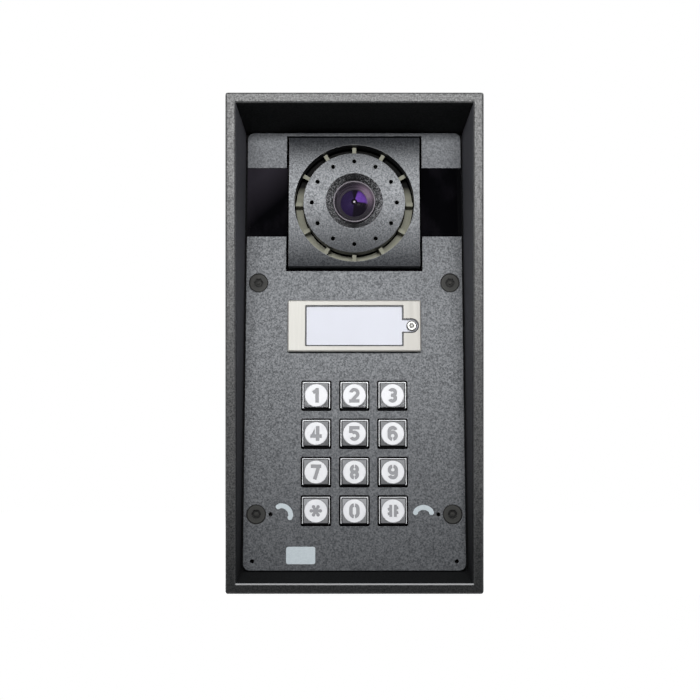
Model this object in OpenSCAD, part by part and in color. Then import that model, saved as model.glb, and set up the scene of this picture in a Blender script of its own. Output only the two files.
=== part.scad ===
// Wall-mounted door intercom panel: a cast rain hood with a front plate that carries a camera block,
// a call button with a name label and a keypad, and the speaker, boards and seals behind the plate.
// Each module works in the panel's own directions: x to the right, y up and z out of the wall.
// stand() turns them upright, so that the wall is the plane y = 0 and the front faces -Y.

/* [Housing] */
// Width of the cast housing
housing_w = 111; // [106:0.5:130]
// Height of the cast housing
housing_h = 213.6; // [208:0.2:240]
// Depth of the rain hood at the top
hood_depth = 83; // [74:0.5:100]
// Depth of the housing at the foot
foot_depth = 55; // [52:0.5:64]
// Wall thickness at the top of the rim
rim_t = 4.5; // [3.5:0.1:6]
// Thickness of the back wall
back_t = 3.5; // [3:0.1:5]
// Radius of the upright outer edges
housing_r = 1.2; // [0.6:0.1:3]
// Bevel along the inner and outer edges of the rim
rim_bevel = 0.6; // [0.3:0.1:1]
// Lean of the side walls of the recess, in degrees
side_draft = 0.9; // [0.3:0.1:1.5]
// Climb of the sill from the rim to the plate
sill_rise = 4.1; // [2:0.1:6]

/* [Wall fixing] */
// Radius of the wall screw holes
wall_hole_r = 2.75; // [2:0.05:3.5]
// Distance of the wall screw holes from the housing's sides
wall_hole_inset_x = 15.5; // [14:0.1:18]
// Distance of the wall screw holes from the housing's top and bottom
wall_hole_inset_y = 18.8; // [16:0.1:20]
// Width of the foam cord round the back
wall_gasket_w = 4; // [2:0.1:5]
// Depth of the foam cord
wall_gasket_t = 2; // [1:0.1:2.5]
// Radius of the cable hole through the rubber grommet
cable_r = 3.5; // [2:0.1:5]
// Radius of the two cable entries in the back wall
entry_r = 10; // [8:0.1:11]
// Distance between the two cable entries
entry_spacing = 40; // [30:1:46]

/* [Front plate] */
// Distance of the plate's face from the wall
plate_level = 43.6; // [40:0.1:46]
// Thickness of the plate
plate_t = 3; // [2.5:0.1:4]
// Gap between the plate and the side walls
plate_side_gap = 1.2; // [0.6:0.1:1.6]
// Gap between the plate and the hood or the sill
plate_end_gap = 0.5; // [0.3:0.1:1]
// Corner radius of the plate
plate_r = 3; // [1:0.1:4]
// Width of the housing's seat under the plate's edge
seat_w = 2.7; // [2:0.1:3.2]
// Thickness of the seal under the plate
panel_gasket_t = 1; // [0.6:0.1:1.6]

/* [Panel screws] */
// Radius of the screw heads
screw_head_r = 4.3; // [3.8:0.1:4.6]
// Thickness of the screw heads
screw_head_t = 1.6; // [1.2:0.1:2]
// Radius of the screw shanks
screw_shank_r = 2.4; // [1.8:0.1:2.6]
// Distance of the screws from the plate's sides
screw_inset = 5.55; // [5:0.05:6]
// Distance of the upper screws from the plate's top edge
screw_drop = 70.6; // [69:0.1:76]
// Distance of the lower screws from the plate's bottom edge
screw_lift = 24.5; // [20:0.1:28]
// Radius of the microphone holes and of the corner holes
pin_hole_r = 0.9; // [0.5:0.05:1]
// Distance from a lower screw to its microphone hole
mic_offset = 6.4; // [6.2:0.1:8]

/* [Camera] */
// Share of the plate's width that the camera block takes
block_share = 0.605; // [0.58:0.001:0.62]
// Extra height of the camera block over its width
block_stretch = 0.9; // [0:0.1:2]
// Distance from the plate's top edge to the block
block_inset = 3.5; // [3.2:0.05:6]
// Height of the block's face over the plate
block_proud = 6; // [4:0.1:8]
// Crown of the block's face, from its top and bottom edges to its middle
block_crown = 0.6; // [0.4:0.1:3]
// Gap between block and plate
block_gap = 0.8; // [0.4:0.1:1]
// Distance from the block's side to the ring groove
groove_edge = 2.55; // [2:0.05:4]
// Width of the ring groove
groove_w = 4.1; // [3:0.1:5]
// Depth of the ring groove
groove_d = 10; // [6:0.1:10.5]
// Distance of the ring groove's middle under the block's middle
ring_drop = 0.9; // [0:0.1:1.2]
// Count of ribs and of sound holes
rib_count = 12; // [8:1:12]
// Width of the ribs
rib_w = 1.75; // [1:0.05:2.5]
// Depth of the rib tops under the block's face
rib_depth = 3.6; // [1:0.1:5]
// Distance from the ring groove to the middle of the sound holes
sound_inset = 3.8; // [2:0.1:4.5]
// Radius of a sound hole
sound_hole_r = 0.95; // [0.6:0.05:1.2]
// Mouth radius of the lens cone
cone_r = 12.95; // [11.5:0.05:14]
// Depth of the lens cone
cone_d = 3.1; // [2:0.1:5]
// Distance from the block's face to the front of the lens barrel
barrel_sink = 1.5; // [1.2:0.1:3]
// Outer radius of the lens barrel
barrel_r = 9.6; // [8.5:0.1:10]
// Radius of the inner lens element
lens_r = 6.2; // [5:0.1:6.6]

/* [Night light windows] */
// Distance from the plate's top edge to the windows
band_drop = 16.7; // [14:0.1:20]
// Height of the windows
band_h = 32.3; // [28:0.1:36]
// Depth of the recess that holds a window
band_d = 1.5; // [1:0.1:1.8]
// Radius of a light diode
led_r = 2.5; // [1.5:0.1:2.6]

/* [Call button] */
// Width of the button frame
button_w = 60.2; // [56:0.1:64]
// Height of the button frame
button_h = 23.3; // [21.5:0.1:25]
// Thickness of the button frame
button_t = 1.6; // [1.4:0.1:2.2]
// Share of the plate's free height between the camera block and the button
upper_gap_share = 0.313; // [0.26:0.001:0.34]
// Travel of the call button
button_travel = 1.2; // [0.6:0.1:1.4]
// Width of the label window
window_w = 43.9; // [40:0.1:46]
// Height of the label window
window_h = 18.2; // [16:0.1:19]
// Height of the window's screw tab
tab_h = 6.1; // [5.6:0.1:6.8]
// Distance from the button's right side to the tab's end
tab_inset = 1.2; // [0.8:0.1:2]

/* [Keypad] */
// Distance between the centres of neighbouring keys
key_pitch = 17.05; // [16.5:0.05:17.5]
// Width of a key cap at its foot
key_w = 12.6; // [12:0.1:13]
// Width of a key cap's face
key_face_w = 10.6; // [10.4:0.1:11.2]
// Height of a key's face over the plate
key_proud = 2.8; // [2:0.1:4]
// Gap between a key and the plate
key_gap = 0.5; // [0.3:0.05:0.6]
// Travel of a key
key_travel = 1.2; // [0.6:0.1:1.4]
// Share of the plate's free height between the button and the keys
lower_gap_share = 0.279; // [0.24:0.001:0.34]
// Radius of the white disc in a key
disc_r = 5; // [4.6:0.05:5.1]
// Thickness of the white disc
disc_t = 0.9; // [0.6:0.1:1.2]
// Height of a sign on a key
sign_h = 6.4; // [5.6:0.1:6.8]
// Width of a sign on a key
sign_w = 4.4; // [4:0.1:4.8]
// Stroke of a sign
stroke = 1.35; // [1.1:0.05:1.5]
// Gap in the closed loops of a sign
stencil_gap = 0.7; // [0.5:0.05:0.9]

/* [Printed marks] */
// Distance from the outer keys to the handset signs
symbol_offset = 13.6; // [12.5:0.1:15]
// Size of a handset sign from its curve's centre to the middle of its stroke
symbol_r = 4.3; // [3.6:0.1:4.5]
// Width of the bare badge
badge_w = 12.9; // [10:0.1:14]
// Height of the bare badge
badge_h = 7.6; // [6:0.1:8]
// Distance of the badge from the middle of the plate
badge_offset = 23.7; // [20:0.1:26]
// Distance of the badge from the plate's bottom edge
badge_lift = 6.6; // [5:0.1:8]
// Depth of the printed marks in the plate
mark_d = 0.3; // [0.2:0.1:0.6]

/* [Boards] */
// Thickness of the circuit boards
board_t = 1.6; // [1:0.1:2]
// Thickness of the keypad mat's sheet
mat_t = 1.2; // [0.8:0.1:1.6]
// Width of the main board
main_board_w = 74; // [66:1:76]
// Height of the main board
main_board_h = 96; // [80:1:100]
// Distance of the main board from the back wall
main_board_lift = 6.5; // [5:0.1:8]

/* [Hidden] */
$fn = 64;
// Margin by which a cutting body runs past the face that it cuts
over = 1;
// Clearance between pieces of one body that sit in each other
fit = 0.1;
// Clearance that keeps neighbouring pieces apart
clear = 0.4;
// Radius at the corners of boards and of the button's plunger
corner_r = 1;

// Small screws of the boards
small_shank_r = 1;
small_bore_r = small_shank_r + fit;
small_head_r = 2;
small_head_t = 1.4;
small_screw_depth = 3;

// Rim plane: it leans forward from the foot to the hood
rim_angle = atan((hood_depth - foot_depth) / housing_h);
rim_mid = (hood_depth + foot_depth) / 2;
rim_length = housing_h / cos(rim_angle);
function rim_z(y) = rim_mid + y * tan(rim_angle);

// Recess between the rim and the plate
recess_top = housing_h / 2 - rim_t;
recess_foot = -recess_top;
sill_top = recess_foot + sill_rise;
function recess_half(z) = housing_w / 2 - rim_t - (hood_depth - z) * tan(side_draft);

// Plate
plate_w = 2 * (recess_half(plate_level) - plate_side_gap);
plate_top = recess_top - plate_end_gap;
plate_foot = sill_top + plate_end_gap;
plate_y = (plate_top + plate_foot) / 2;
plate_h = plate_top - plate_foot;
plate_back = plate_level - plate_t;
seat_z = plate_back - panel_gasket_t;
cavity_r = 4;
wall_hole_x = housing_w / 2 - wall_hole_inset_x;
wall_hole_y = housing_h / 2 - wall_hole_inset_y;

// Panel screws, microphones and corner holes
screw_x = plate_w / 2 - screw_inset;
screw_ys = [plate_top - screw_drop, plate_foot + screw_lift];
screw_depth = 14;
boss_wall = 1.6;
boss_r = screw_shank_r + boss_wall;
mic_x = screw_x - mic_offset;
mic_r = mic_offset - boss_r - clear;
mic_t = 2;
corner_hole_inset = 4;
corner_hole_d = 2.2;

// Camera block
block_w = block_share * plate_w;
block_h = block_w + block_stretch;
block_top = plate_top - block_inset;
block_foot = block_top - block_h;
block_y = (block_top + block_foot) / 2;
block_face = plate_level + block_proud;
block_flange_t = 3;
block_lap = 2.5;
block_back = plate_back - block_flange_t;
block_end_gap = 0.5;
crown_steps = 720;
crown_r = (pow(block_h / 2, 2) + pow(block_crown, 2)) / (2 * block_crown);
block_hole_w = block_w + 2 * block_gap;
groove_r2 = block_w / 2 - groove_edge;
groove_r1 = groove_r2 - groove_w;
sound_circle_r = groove_r1 - sound_inset;
ring_y = block_y - ring_drop;
ring_gap = 0.4;
bore_gap = 0.25;
bore_r = barrel_r + bore_gap;
ring_t = 1.4;
camera_board_w = 34;
camera_board_back = block_back - board_t;
camera_screw_inset = 3.5;
camera_screw_at = camera_board_w / 2 - camera_screw_inset;
skirt_r1 = camera_board_w / sqrt(2) + clear;
skirt_r2 = block_w / 2 - clear;
head_room = 2;
skirt_back = camera_board_back - small_head_t - head_room;

// Lens, measured along the barrel from the camera board
sensor_w = 9;
sensor_t = 1.2;
barrel_front = block_face - barrel_sink;
barrel_wall = 0.5;
dome_r = barrel_r - barrel_wall - fit;
dome_ball_r = 22;
dome_t = 1.1;
dome_edge = 0.6;
dome_sink = 1.2;
dome_seat = barrel_front - dome_sink;
barrel_step_d = 1.1;
lens_rim_t = 0.8;
lens_seat = dome_seat - 3 * barrel_step_d;
lens_ball_r = 8;

// Loudspeaker behind the block
speaker_r = skirt_r2 - clear;
speaker_rim_t = 2;
speaker_front = skirt_back;
speaker_ledge_t = 1.2;
speaker_rim_w = 4.5;
speaker_rim_r = speaker_r - speaker_rim_w;
speaker_ledge_r = speaker_rim_r - speaker_ledge_t;
speaker_depth = 14.5;
speaker_wall = 1.4;
magnet_r = 15;
magnet_t = 9;
speaker_back = speaker_front - speaker_depth;

// Night light windows, boards and diodes
band_top = plate_top - band_drop;
band_foot = band_top - band_h;
band_y = (band_top + band_foot) / 2;
window_sink = 0.2;
window_gap = 0.15;
led_open_x1 = block_hole_w / 2 + block_lap;
led_open_x2 = plate_w / 2 - seat_w - clear;
led_strip = 3.2;
led_open_h = band_h - 2 * led_strip;
led_x = (led_open_x1 + led_open_x2) / 2;
led_board_w = led_open_x2 - led_open_x1 - 2 * clear;
led_post_r = 1.4;
led_post_at = (led_open_h + band_h) / 4;
led_board_h = 2 * (led_post_at + led_post_r + clear);
led_post_l = 3;
led_board_z = plate_back - led_post_l;
led_step_x = led_board_w / 4;
led_step_y = led_open_h / 4;
led_rim_t = 1;
led_rim_w = 0.3;
led_bore_r = 0.7;
led_shank_r = 0.6;
led_screw_depth = 2.5;

// Heights that block, button and keypad leave free on the plate
key_rows = 4;
keypad_h = (key_rows - 1) * key_pitch + key_w;
free_h = plate_h - block_inset - block_h - button_h - keypad_h;
upper_gap = upper_gap_share * free_h;
lower_gap = lower_gap_share * free_h;

// Call button
button_top = block_foot - upper_gap;
button_y = button_top - button_h / 2;
button_back = plate_level + button_travel + fit;
button_face = button_back + button_t;
button_r = 0.6;
button_bevel = 0.5;
window_r = 0.4;
label_inset = 0.45;
window_t = 0.8;
label_t = 0.2;
pad_t = 0.4;
window_fit = 0.25;
window_top = button_back + pad_t + label_t + window_t;
plunger_gap = 0.5;
plunger_cover = 2;
plunger_w = button_w - 2 * (plunger_gap + plunger_cover);
plunger_h = button_h - 2 * (plunger_gap + plunger_cover);
flange_t = 1.6;
flange_lap = 1.5;
tab_end = button_w / 2 - tab_inset;
tab_screw_x = tab_end - tab_h / 2;
tab_wall = 0.75;
tab_screw_head_r = tab_h / 2 - tab_wall;
tab_screw_head_t = 0.8;
tab_screw_shank_r = 1;
tab_sink = 0.5;
tab_screw_depth = 4;
button_dome_x = 14;

// Keypad
key_names = ["1", "2", "3", "4", "5", "6", "7", "8", "9", "star", "0", "hash"];
key_columns = 3;
first_row_y = button_y - button_h / 2 - lower_gap - key_w / 2;
last_row_y = first_row_y - (key_rows - 1) * key_pitch;
function key_at(i) = [
    (i % key_columns - 1) * key_pitch,
    first_row_y - floor(i / key_columns) * key_pitch
];
key_hole_w = key_w + 2 * key_gap;
key_flange_lap = 0.75;
key_flange_w = key_hole_w + 2 * key_flange_lap;
key_flange_t = 1;
key_step = 0.8;
key_ledge = 0.45;
key_r = 0.8;
key_face = plate_level + key_proud;
disc_gap = 0.08;
sign_gap = 0.08;
mark_gap = 0.04;
badge_r = 1;

// Boards on the plate: the mat's sheet stays clear of a flange that is pressed right in
board_drop = max(flange_t + button_travel, key_flange_t + key_travel) + mat_t + clear;
board_front = plate_back - board_drop;
board_back = board_front - board_t;
carrier_flange_w = plunger_w + 2 * (plunger_gap + flange_lap);
carrier_flange_h = plunger_h + 2 * (plunger_gap + flange_lap);
post_r = 2.6;
post_x = carrier_flange_w / 2 + post_r + clear;
post_top_y = button_y + carrier_flange_h / 2 - post_r;
post_foot_y = last_row_y - key_flange_w / 2 - post_r - clear;
board_edge = post_r + clear;
board_w = 2 * (post_x + board_edge);
board_top = post_top_y + board_edge;
board_foot = post_foot_y - board_edge;
mat_w = 2 * (post_x - post_r - clear);
dome_hole_r = 2.4;
dome_wall = 1.4;
dome_skin = 0.8;
key_dome_r = dome_hole_r + dome_wall;

// Boards in the housing
cavity_foot = plate_foot + seat_w;
main_board_inset = 15;
main_board_foot = cavity_foot + main_board_inset;
main_board_y = main_board_foot + main_board_h / 2;
main_board_back = back_t + main_board_lift;
main_board_front = main_board_back + board_t;
standoff_r = 3;
standoff_inset = 4;
main_shank_r = 1.4;
main_bore_r = main_shank_r + fit;
main_head_r = 2.6;
main_head_t = 1.8;
main_screw_depth = 5;
terminal_ways = 8;
terminal_pitch = 5;
terminal_d = 9;
terminal_h = 11;
terminal_screw_r = 1.6;
terminal_mouth_w = 3;
terminal_mouth_h = 4;
terminal_floor = 1.5;
jack_w = 16;
jack_d = 21;
jack_h = 13.5;
jack_wall = 1;

// Seals of the back wall
wall_gasket_inset = 3;
entry_rise = 16;
entry_y = main_board_foot + main_board_h + entry_rise;
entry_lap = 2.2;
flange_r = entry_r + entry_lap;
rubber_flange_t = 1.2;

// Helpers

// Turns the panel upright: z out of the wall becomes -Y, y becomes +Z
module stand() {
    rotate([90, 0, 0]) children();
}

// Extrudes an outline between two depths
module between(z1, z2) {
    translate([0, 0, z1]) linear_extrude(z2 - z1) children();
}

// Extrudes an outline of (x, z) along y, or one of (y, z) along x
module along_y(length) {
    rotate([90, 0, 0]) linear_extrude(length, center = true) children();
}
module along_x(length) {
    rotate([90, 0, 90]) linear_extrude(length, center = true) children();
}

// Rectangle with rounded corners, centred
module rounded(w, h, r) {
    square([w - 2 * r, h], center = true);
    square([w, h - 2 * r], center = true);
    for (x = [-1, 1], y = [-1, 1])
        translate([x * (w / 2 - r), y * (h / 2 - r)]) circle(r);
}

// Ring between two radii
module ring(r1, r2) {
    difference() {
        circle(r2);
        circle(r1);
    }
}

// Part of a ring between two angles
module sector(r1, r2, a1, a2) {
    steps = ceil((a2 - a1) / 60);
    step = (a2 - a1) / steps;
    reach = 2 * r2;
    fan = [for (k = [0 : steps]) reach * [cos(a1 + step * k), sin(a1 + step * k)]];
    intersection() {
        ring(r1, r2);
        polygon(concat([[0, 0]], fan));
    }
}

// Copies to both sides, and to the four corners of a rectangle
module both_sides() {
    children();
    mirror([1, 0, 0]) children();
}
module corners(x, ys) {
    for (side = [-1, 1], y = ys)
        translate([side * x, y, 0]) children();
}

// Block with a straight foot and four bevelled sides up to a smaller face
module bevelled(w, h, z1, z2, bevel_x, bevel_z) {
    intersection() {
        along_y(h + 2 * over) bevel_outline(w, z1, z2, bevel_x, bevel_z);
        along_x(w + 2 * over) bevel_outline(h, z1, z2, bevel_x, bevel_z);
    }
}
module bevel_outline(w, z1, z2, bevel_x, bevel_z) {
    polygon([
        [-w / 2, z1], [w / 2, z1], [w / 2, z2 - bevel_z],
        [w / 2 - bevel_x, z2], [-w / 2 + bevel_x, z2], [-w / 2, z2 - bevel_z]
    ]);
}

// Six-lobed screw socket with its pin left standing
module socket(r) {
    difference() {
        union() {
            circle(0.75 * r);
            for (k = [0 : 5])
                rotate(60 * k) translate([0.75 * r, 0]) circle(0.25 * r);
        }
        circle(0.3 * r);
    }
}

// Screw with its head's back at z = 0 and its shank below
module screw(head_r, head_t, shank_r, length) {
    difference() {
        cylinder(r = head_r, h = head_t);
        translate([0, 0, head_t / 2]) linear_extrude(head_t) socket(0.5 * head_r);
    }
    translate([0, 0, -length]) cylinder(r = shank_r, h = length);
}

// Housing

module housing() {
    color("#343537") stand() difference() {
        union() {
            difference() {
                housing_solid();
                front_recess();
                rim_bevel_cut();
                between(back_t, plate_level) plate_inset(seat_w, cavity_r);
            }
            intersection() {
                corners(screw_x, screw_ys) cylinder(r = boss_r, h = plate_back);
                between(0, plate_back) plate_inset(-plate_side_gap, plate_r);
            }
            main_board_corners() cylinder(r = standoff_r, h = main_board_back);
        }
        corners(screw_x, screw_ys)
            translate([0, 0, plate_back - screw_depth]) cylinder(r = screw_shank_r, h = screw_depth + over);
        main_board_corners()
            translate([0, 0, main_board_back - main_screw_depth])
                cylinder(r = main_bore_r, h = main_screw_depth + over);
        corners(wall_hole_x, [-wall_hole_y, wall_hole_y])
            translate([0, 0, -over]) cylinder(r = wall_hole_r, h = back_t + 2 * over);
        cable_entries() {
            translate([0, 0, -over]) cylinder(r = entry_r, h = back_t + 2 * over);
            translate([0, 0, -over]) cylinder(r = flange_r + fit, h = rubber_flange_t + over);
        }
        between(-over, wall_gasket_t) wall_gasket_outline();
    }
}

// Upright block whose front leans along the rim, with bevelled rim edges
module housing_solid() {
    bevel_y = rim_bevel * cos(rim_angle);
    bevel_z = rim_bevel * sin(rim_angle);
    top = housing_h / 2;
    intersection() {
        between(0, hood_depth + over) rounded(housing_w, housing_h, housing_r);
        along_x(housing_w + 2 * over) polygon([
            [-top, 0], [top, 0], [top, hood_depth - rim_bevel], [top - bevel_y, hood_depth - bevel_z],
            [-top + bevel_y, foot_depth + bevel_z], [-top, foot_depth - rim_bevel]
        ]);
        on_rim() along_y(2 * rim_length) bevel_outline(housing_w, -2 * hood_depth, 0, rim_bevel, rim_bevel);
    }
}

// Frame of the rim: x across, y along the slanting rim and z square to it
module on_rim() {
    translate([0, 0, rim_mid]) rotate([rim_angle, 0, 0]) children();
}

// Space in front of the plate: leaning side walls, a level hood and a sill that falls to the front
module front_recess() {
    far = hood_depth + over;
    intersection() {
        along_y(housing_h) polygon([
            [-recess_half(seat_z), seat_z], [recess_half(seat_z), seat_z],
            [recess_half(far), far], [-recess_half(far), far]
        ]);
        along_x(housing_w) polygon([
            [sill_top, seat_z], [recess_top, seat_z], [recess_top, far],
            [recess_foot, far], [recess_foot, rim_z(recess_foot)], [sill_top, plate_level]
        ]);
    }
}

// Bevel round the mouth of the recess
module rim_bevel_cut() {
    mouth_w = 2 * recess_half(hood_depth);
    mouth_h = 2 * recess_top / cos(rim_angle);
    on_rim() intersection() {
        along_y(2 * rim_length) mouth_outline(mouth_w);
        along_x(2 * housing_w) mouth_outline(mouth_h);
    }
}
module mouth_outline(w) {
    polygon([
        [-w / 2, -rim_bevel], [w / 2, -rim_bevel],
        [w / 2 + rim_bevel + over, over], [-w / 2 - rim_bevel - over, over]
    ]);
}

// Outline of the plate, drawn in by an inset
module plate_inset(inset, r) {
    translate([0, plate_y]) rounded(plate_w - 2 * inset, plate_h - 2 * inset, r);
}

module main_board_corners() {
    corners(
        main_board_w / 2 - standoff_inset,
        [main_board_foot + standoff_inset, main_board_foot + main_board_h - standoff_inset]
    ) children();
}

module cable_entries() {
    for (side = [-1, 1])
        translate([side * entry_spacing / 2, entry_y, 0]) children();
}

module wall_gasket_outline() {
    outer_inset = 2 * wall_gasket_inset;
    inner_inset = outer_inset + 2 * wall_gasket_w;
    inner_r = 1;
    difference() {
        rounded(housing_w - outer_inset, housing_h - outer_inset, cavity_r);
        rounded(housing_w - inner_inset, housing_h - inner_inset, inner_r);
    }
}

module wall_gasket() {
    color("#202020") stand() between(0, wall_gasket_t) wall_gasket_outline();
}

// Rubber body that grips the back wall between two flanges
module entry_rubber() {
    cylinder(r = flange_r, h = rubber_flange_t - fit);
    cylinder(r = entry_r - fit, h = back_t + rubber_flange_t);
    translate([0, 0, back_t]) cylinder(r = flange_r, h = rubber_flange_t);
}

module cable_grommet() {
    color("#262626") stand() translate([-entry_spacing / 2, entry_y, 0]) difference() {
        entry_rubber();
        translate([0, 0, -over]) cylinder(r = cable_r, h = back_t + rubber_flange_t + 2 * over);
    }
}

module blanking_plug() {
    grip_r = 0.6 * entry_r;
    color("#262626") stand() translate([entry_spacing / 2, entry_y, 0]) difference() {
        entry_rubber();
        translate([0, 0, back_t]) cylinder(r = grip_r, h = rubber_flange_t + over);
    }
}

// Front plate

module front_plate() {
    color("#6e7075") stand() difference() {
        union() {
            between(plate_back, plate_level) plate_inset(0, plate_r);
            board_posts() translate([0, 0, board_front]) cylinder(r = post_r, h = board_drop);
            led_posts() translate([0, 0, led_board_z]) cylinder(r = led_post_r, h = led_post_l);
        }
        between(plate_back - over, plate_level + over) plate_openings();
        both_sides() band_recess();
        corners(screw_x, screw_ys) {
            translate([0, 0, plate_back - over]) cylinder(r = screw_shank_r + fit, h = plate_t + 2 * over);
            translate([0, 0, plate_level - screw_head_t])
                cylinder(r = screw_head_r + fit, h = screw_head_t + over);
        }
        corners(mic_x, [screw_ys[1]])
            translate([0, 0, plate_back - over]) cylinder(r = pin_hole_r, h = plate_t + 2 * over);
        corners(plate_w / 2 - corner_hole_inset, [plate_foot + corner_hole_inset])
            translate([0, 0, plate_level - corner_hole_d])
                cylinder(r = pin_hole_r, h = corner_hole_d + over);
        between(plate_level - mark_d, plate_level + over) marks_outline(mark_gap);
        board_posts()
            translate([0, 0, board_front - over]) cylinder(r = small_bore_r, h = small_screw_depth + over);
        led_posts()
            translate([0, 0, led_board_z - over]) cylinder(r = led_bore_r, h = led_screw_depth + over);
    }
}

// Cut-outs right through the plate
module plate_openings() {
    hole_top = block_top + block_end_gap;
    hole_foot = block_foot - block_end_gap;
    translate([0, (hole_top + hole_foot) / 2]) square([block_hole_w, hole_top - hole_foot], center = true);
    translate([0, button_y]) rounded(plunger_w + 2 * plunger_gap, plunger_h + 2 * plunger_gap, corner_r);
    for (i = [0 : len(key_names) - 1])
        translate(key_at(i)) rounded(key_hole_w, key_hole_w, key_r);
    both_sides() translate([led_x, band_y])
        square([led_open_x2 - led_open_x1, led_open_h], center = true);
}

// Shallow recess that runs from the camera block out past the plate's side
module band_recess() {
    left = block_hole_w / 2 - over;
    translate([left, band_foot, plate_level - band_d])
        cube([plate_w / 2 - left + over, band_h, band_d + over]);
}

module board_posts() {
    corners(post_x, [post_top_y, post_foot_y]) children();
}

module led_posts() {
    corners(led_x, [band_y - led_post_at, band_y + led_post_at]) children();
}

module panel_gasket() {
    inset = 0.3;
    color("#1d1d1d") stand() between(seat_z, plate_back) difference() {
        plate_inset(inset, plate_r);
        plate_inset(seat_w - fit, cavity_r);
        corners(screw_x, screw_ys) circle(boss_r + fit);
    }
}

module panel_screws() {
    length = plate_t - screw_head_t + screw_depth - over;
    color("#3c3c3a") stand() corners(screw_x, screw_ys)
        translate([0, 0, plate_level - screw_head_t])
            screw(screw_head_r, screw_head_t, screw_shank_r - fit, length);
}

// Handset seen from the side: a curved grip with a pad at each end
module handset_outline(grow) {
    spread = 35;
    pad_r = 0.26 * symbol_r;
    grip = 0.5 * symbol_r;
    turn = grow / symbol_r * 180 / PI;
    translate([0, -0.65 * symbol_r]) {
        sector(symbol_r - grip / 2 - grow, symbol_r + grip / 2 + grow, spread - turn, 180 - spread + turn);
        for (a = [spread, 180 - spread])
            translate(symbol_r * [cos(a), sin(a) - 0.1]) circle(pad_r + grow);
    }
}

module marks_outline(grow) {
    tilt = -42;
    translate([-key_pitch - symbol_offset, last_row_y]) rotate(tilt) handset_outline(grow);
    translate([key_pitch + symbol_offset, last_row_y]) handset_outline(grow);
    translate([-badge_offset, plate_foot + badge_lift])
        rounded(badge_w + 2 * grow, badge_h + 2 * grow, badge_r);
}

module printed_marks() {
    color("#cdd6da") stand() between(plate_level - mark_d, plate_level) marks_outline(0);
}

module microphones() {
    color("#b9b9b4") stand() corners(mic_x, [screw_ys[1]])
        translate([0, 0, plate_back - mic_t]) difference() {
            cylinder(r = mic_r, h = mic_t);
            translate([0, 0, mic_t / 2]) cylinder(r = pin_hole_r, h = mic_t);
        }
}

// Night light

module ir_window() {
    left = block_hole_w / 2 + window_gap;
    z = plate_level - band_d;
    translate([left, band_foot + window_gap, z])
        cube([plate_w / 2 - left, band_h - 2 * window_gap, band_d - window_sink]);
}

module ir_window_left() {
    color("#08080a") stand() mirror([1, 0, 0]) ir_window();
}

module ir_window_right() {
    color("#08080a") stand() ir_window();
}

module ir_boards() {
    color("#1f5a34") stand() difference() {
        both_sides() translate([led_x, band_y, led_board_z - board_t])
            linear_extrude(board_t) square([led_board_w, led_board_h], center = true);
        led_posts() translate([0, 0, led_board_z - 2 * board_t]) cylinder(r = led_bore_r, h = 3 * board_t);
    }
}

module ir_leds() {
    tip = plate_level - band_d - clear;
    color("#c9c4d8") stand() both_sides()
        for (x = [-1, 1], y = [-1, 1])
            translate([led_x + x * led_step_x, band_y + y * led_step_y, led_board_z]) {
                cylinder(r = led_r, h = led_rim_t);
                cylinder(r = led_r - led_rim_w, h = tip - led_board_z);
            }
}

// Camera block

module camera_block() {
    flange_top = block_top;
    flange_foot = block_foot - block_end_gap - block_lap;
    through = block_face - block_back + 2 * over;
    color("#75777b") stand() difference() {
        union() {
            crowned_block();
            translate([0, (flange_top + flange_foot) / 2, 0]) between(block_back, plate_back)
                square([block_hole_w + 2 * block_lap - 2 * fit, flange_top - flange_foot], center = true);
            translate([0, block_y, 0]) between(skirt_back, block_back + fit) ring(skirt_r1, skirt_r2);
        }
        translate([0, ring_y, 0]) {
            between(block_face - groove_d, block_face + over) ring(groove_r1, groove_r2);
            for (k = [0 : rib_count - 1])
                rotate(360 / rib_count * k) translate([sound_circle_r, 0, block_back - over])
                    cylinder(r = sound_hole_r, h = through);
        }
        translate([0, block_y, 0]) {
            translate([0, 0, block_back - over]) cylinder(r = bore_r, h = through);
            lens_cone();
            camera_corners() translate([0, 0, block_back - over])
                cylinder(r = small_bore_r, h = small_screw_depth + fit + over);
        }
    }
}

// Square block whose face is part of a large cylinder that lies across it
module crowned_block() {
    translate([0, block_y, 0]) intersection() {
        between(block_back, block_face) square([block_w, block_h], center = true);
        translate([0, 0, block_face - crown_r]) rotate([0, 90, 0])
            cylinder(r = crown_r, h = block_w + 2 * over, center = true, $fn = crown_steps);
    }
}

// Cone that opens from the barrel's bore to the block's face
module lens_cone() {
    slope = (cone_r - bore_r) / cone_d;
    translate([0, 0, block_face - cone_d])
        cylinder(r1 = bore_r, r2 = cone_r + slope * over, h = cone_d + over);
}

module camera_corners() {
    corners(camera_screw_at, [-camera_screw_at, camera_screw_at]) children();
}

module acoustic_ring() {
    floor_z = block_face - groove_d;
    rib_l = groove_r2 - groove_r1 - 2 * ring_gap;
    color("#c9c6b4") stand() translate([0, ring_y, 0]) {
        between(floor_z, floor_z + ring_t) ring(groove_r1 + ring_gap, groove_r2 - ring_gap);
        intersection() {
            between(floor_z, block_face - rib_depth) ring(groove_r1 + ring_gap, groove_r2 - ring_gap);
            for (k = [0 : rib_count - 1])
                rotate(360 / rib_count * k)
                    translate([groove_r1, -rib_w / 2, floor_z]) cube([rib_l + over, rib_w, groove_d]);
        }
    }
}

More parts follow.
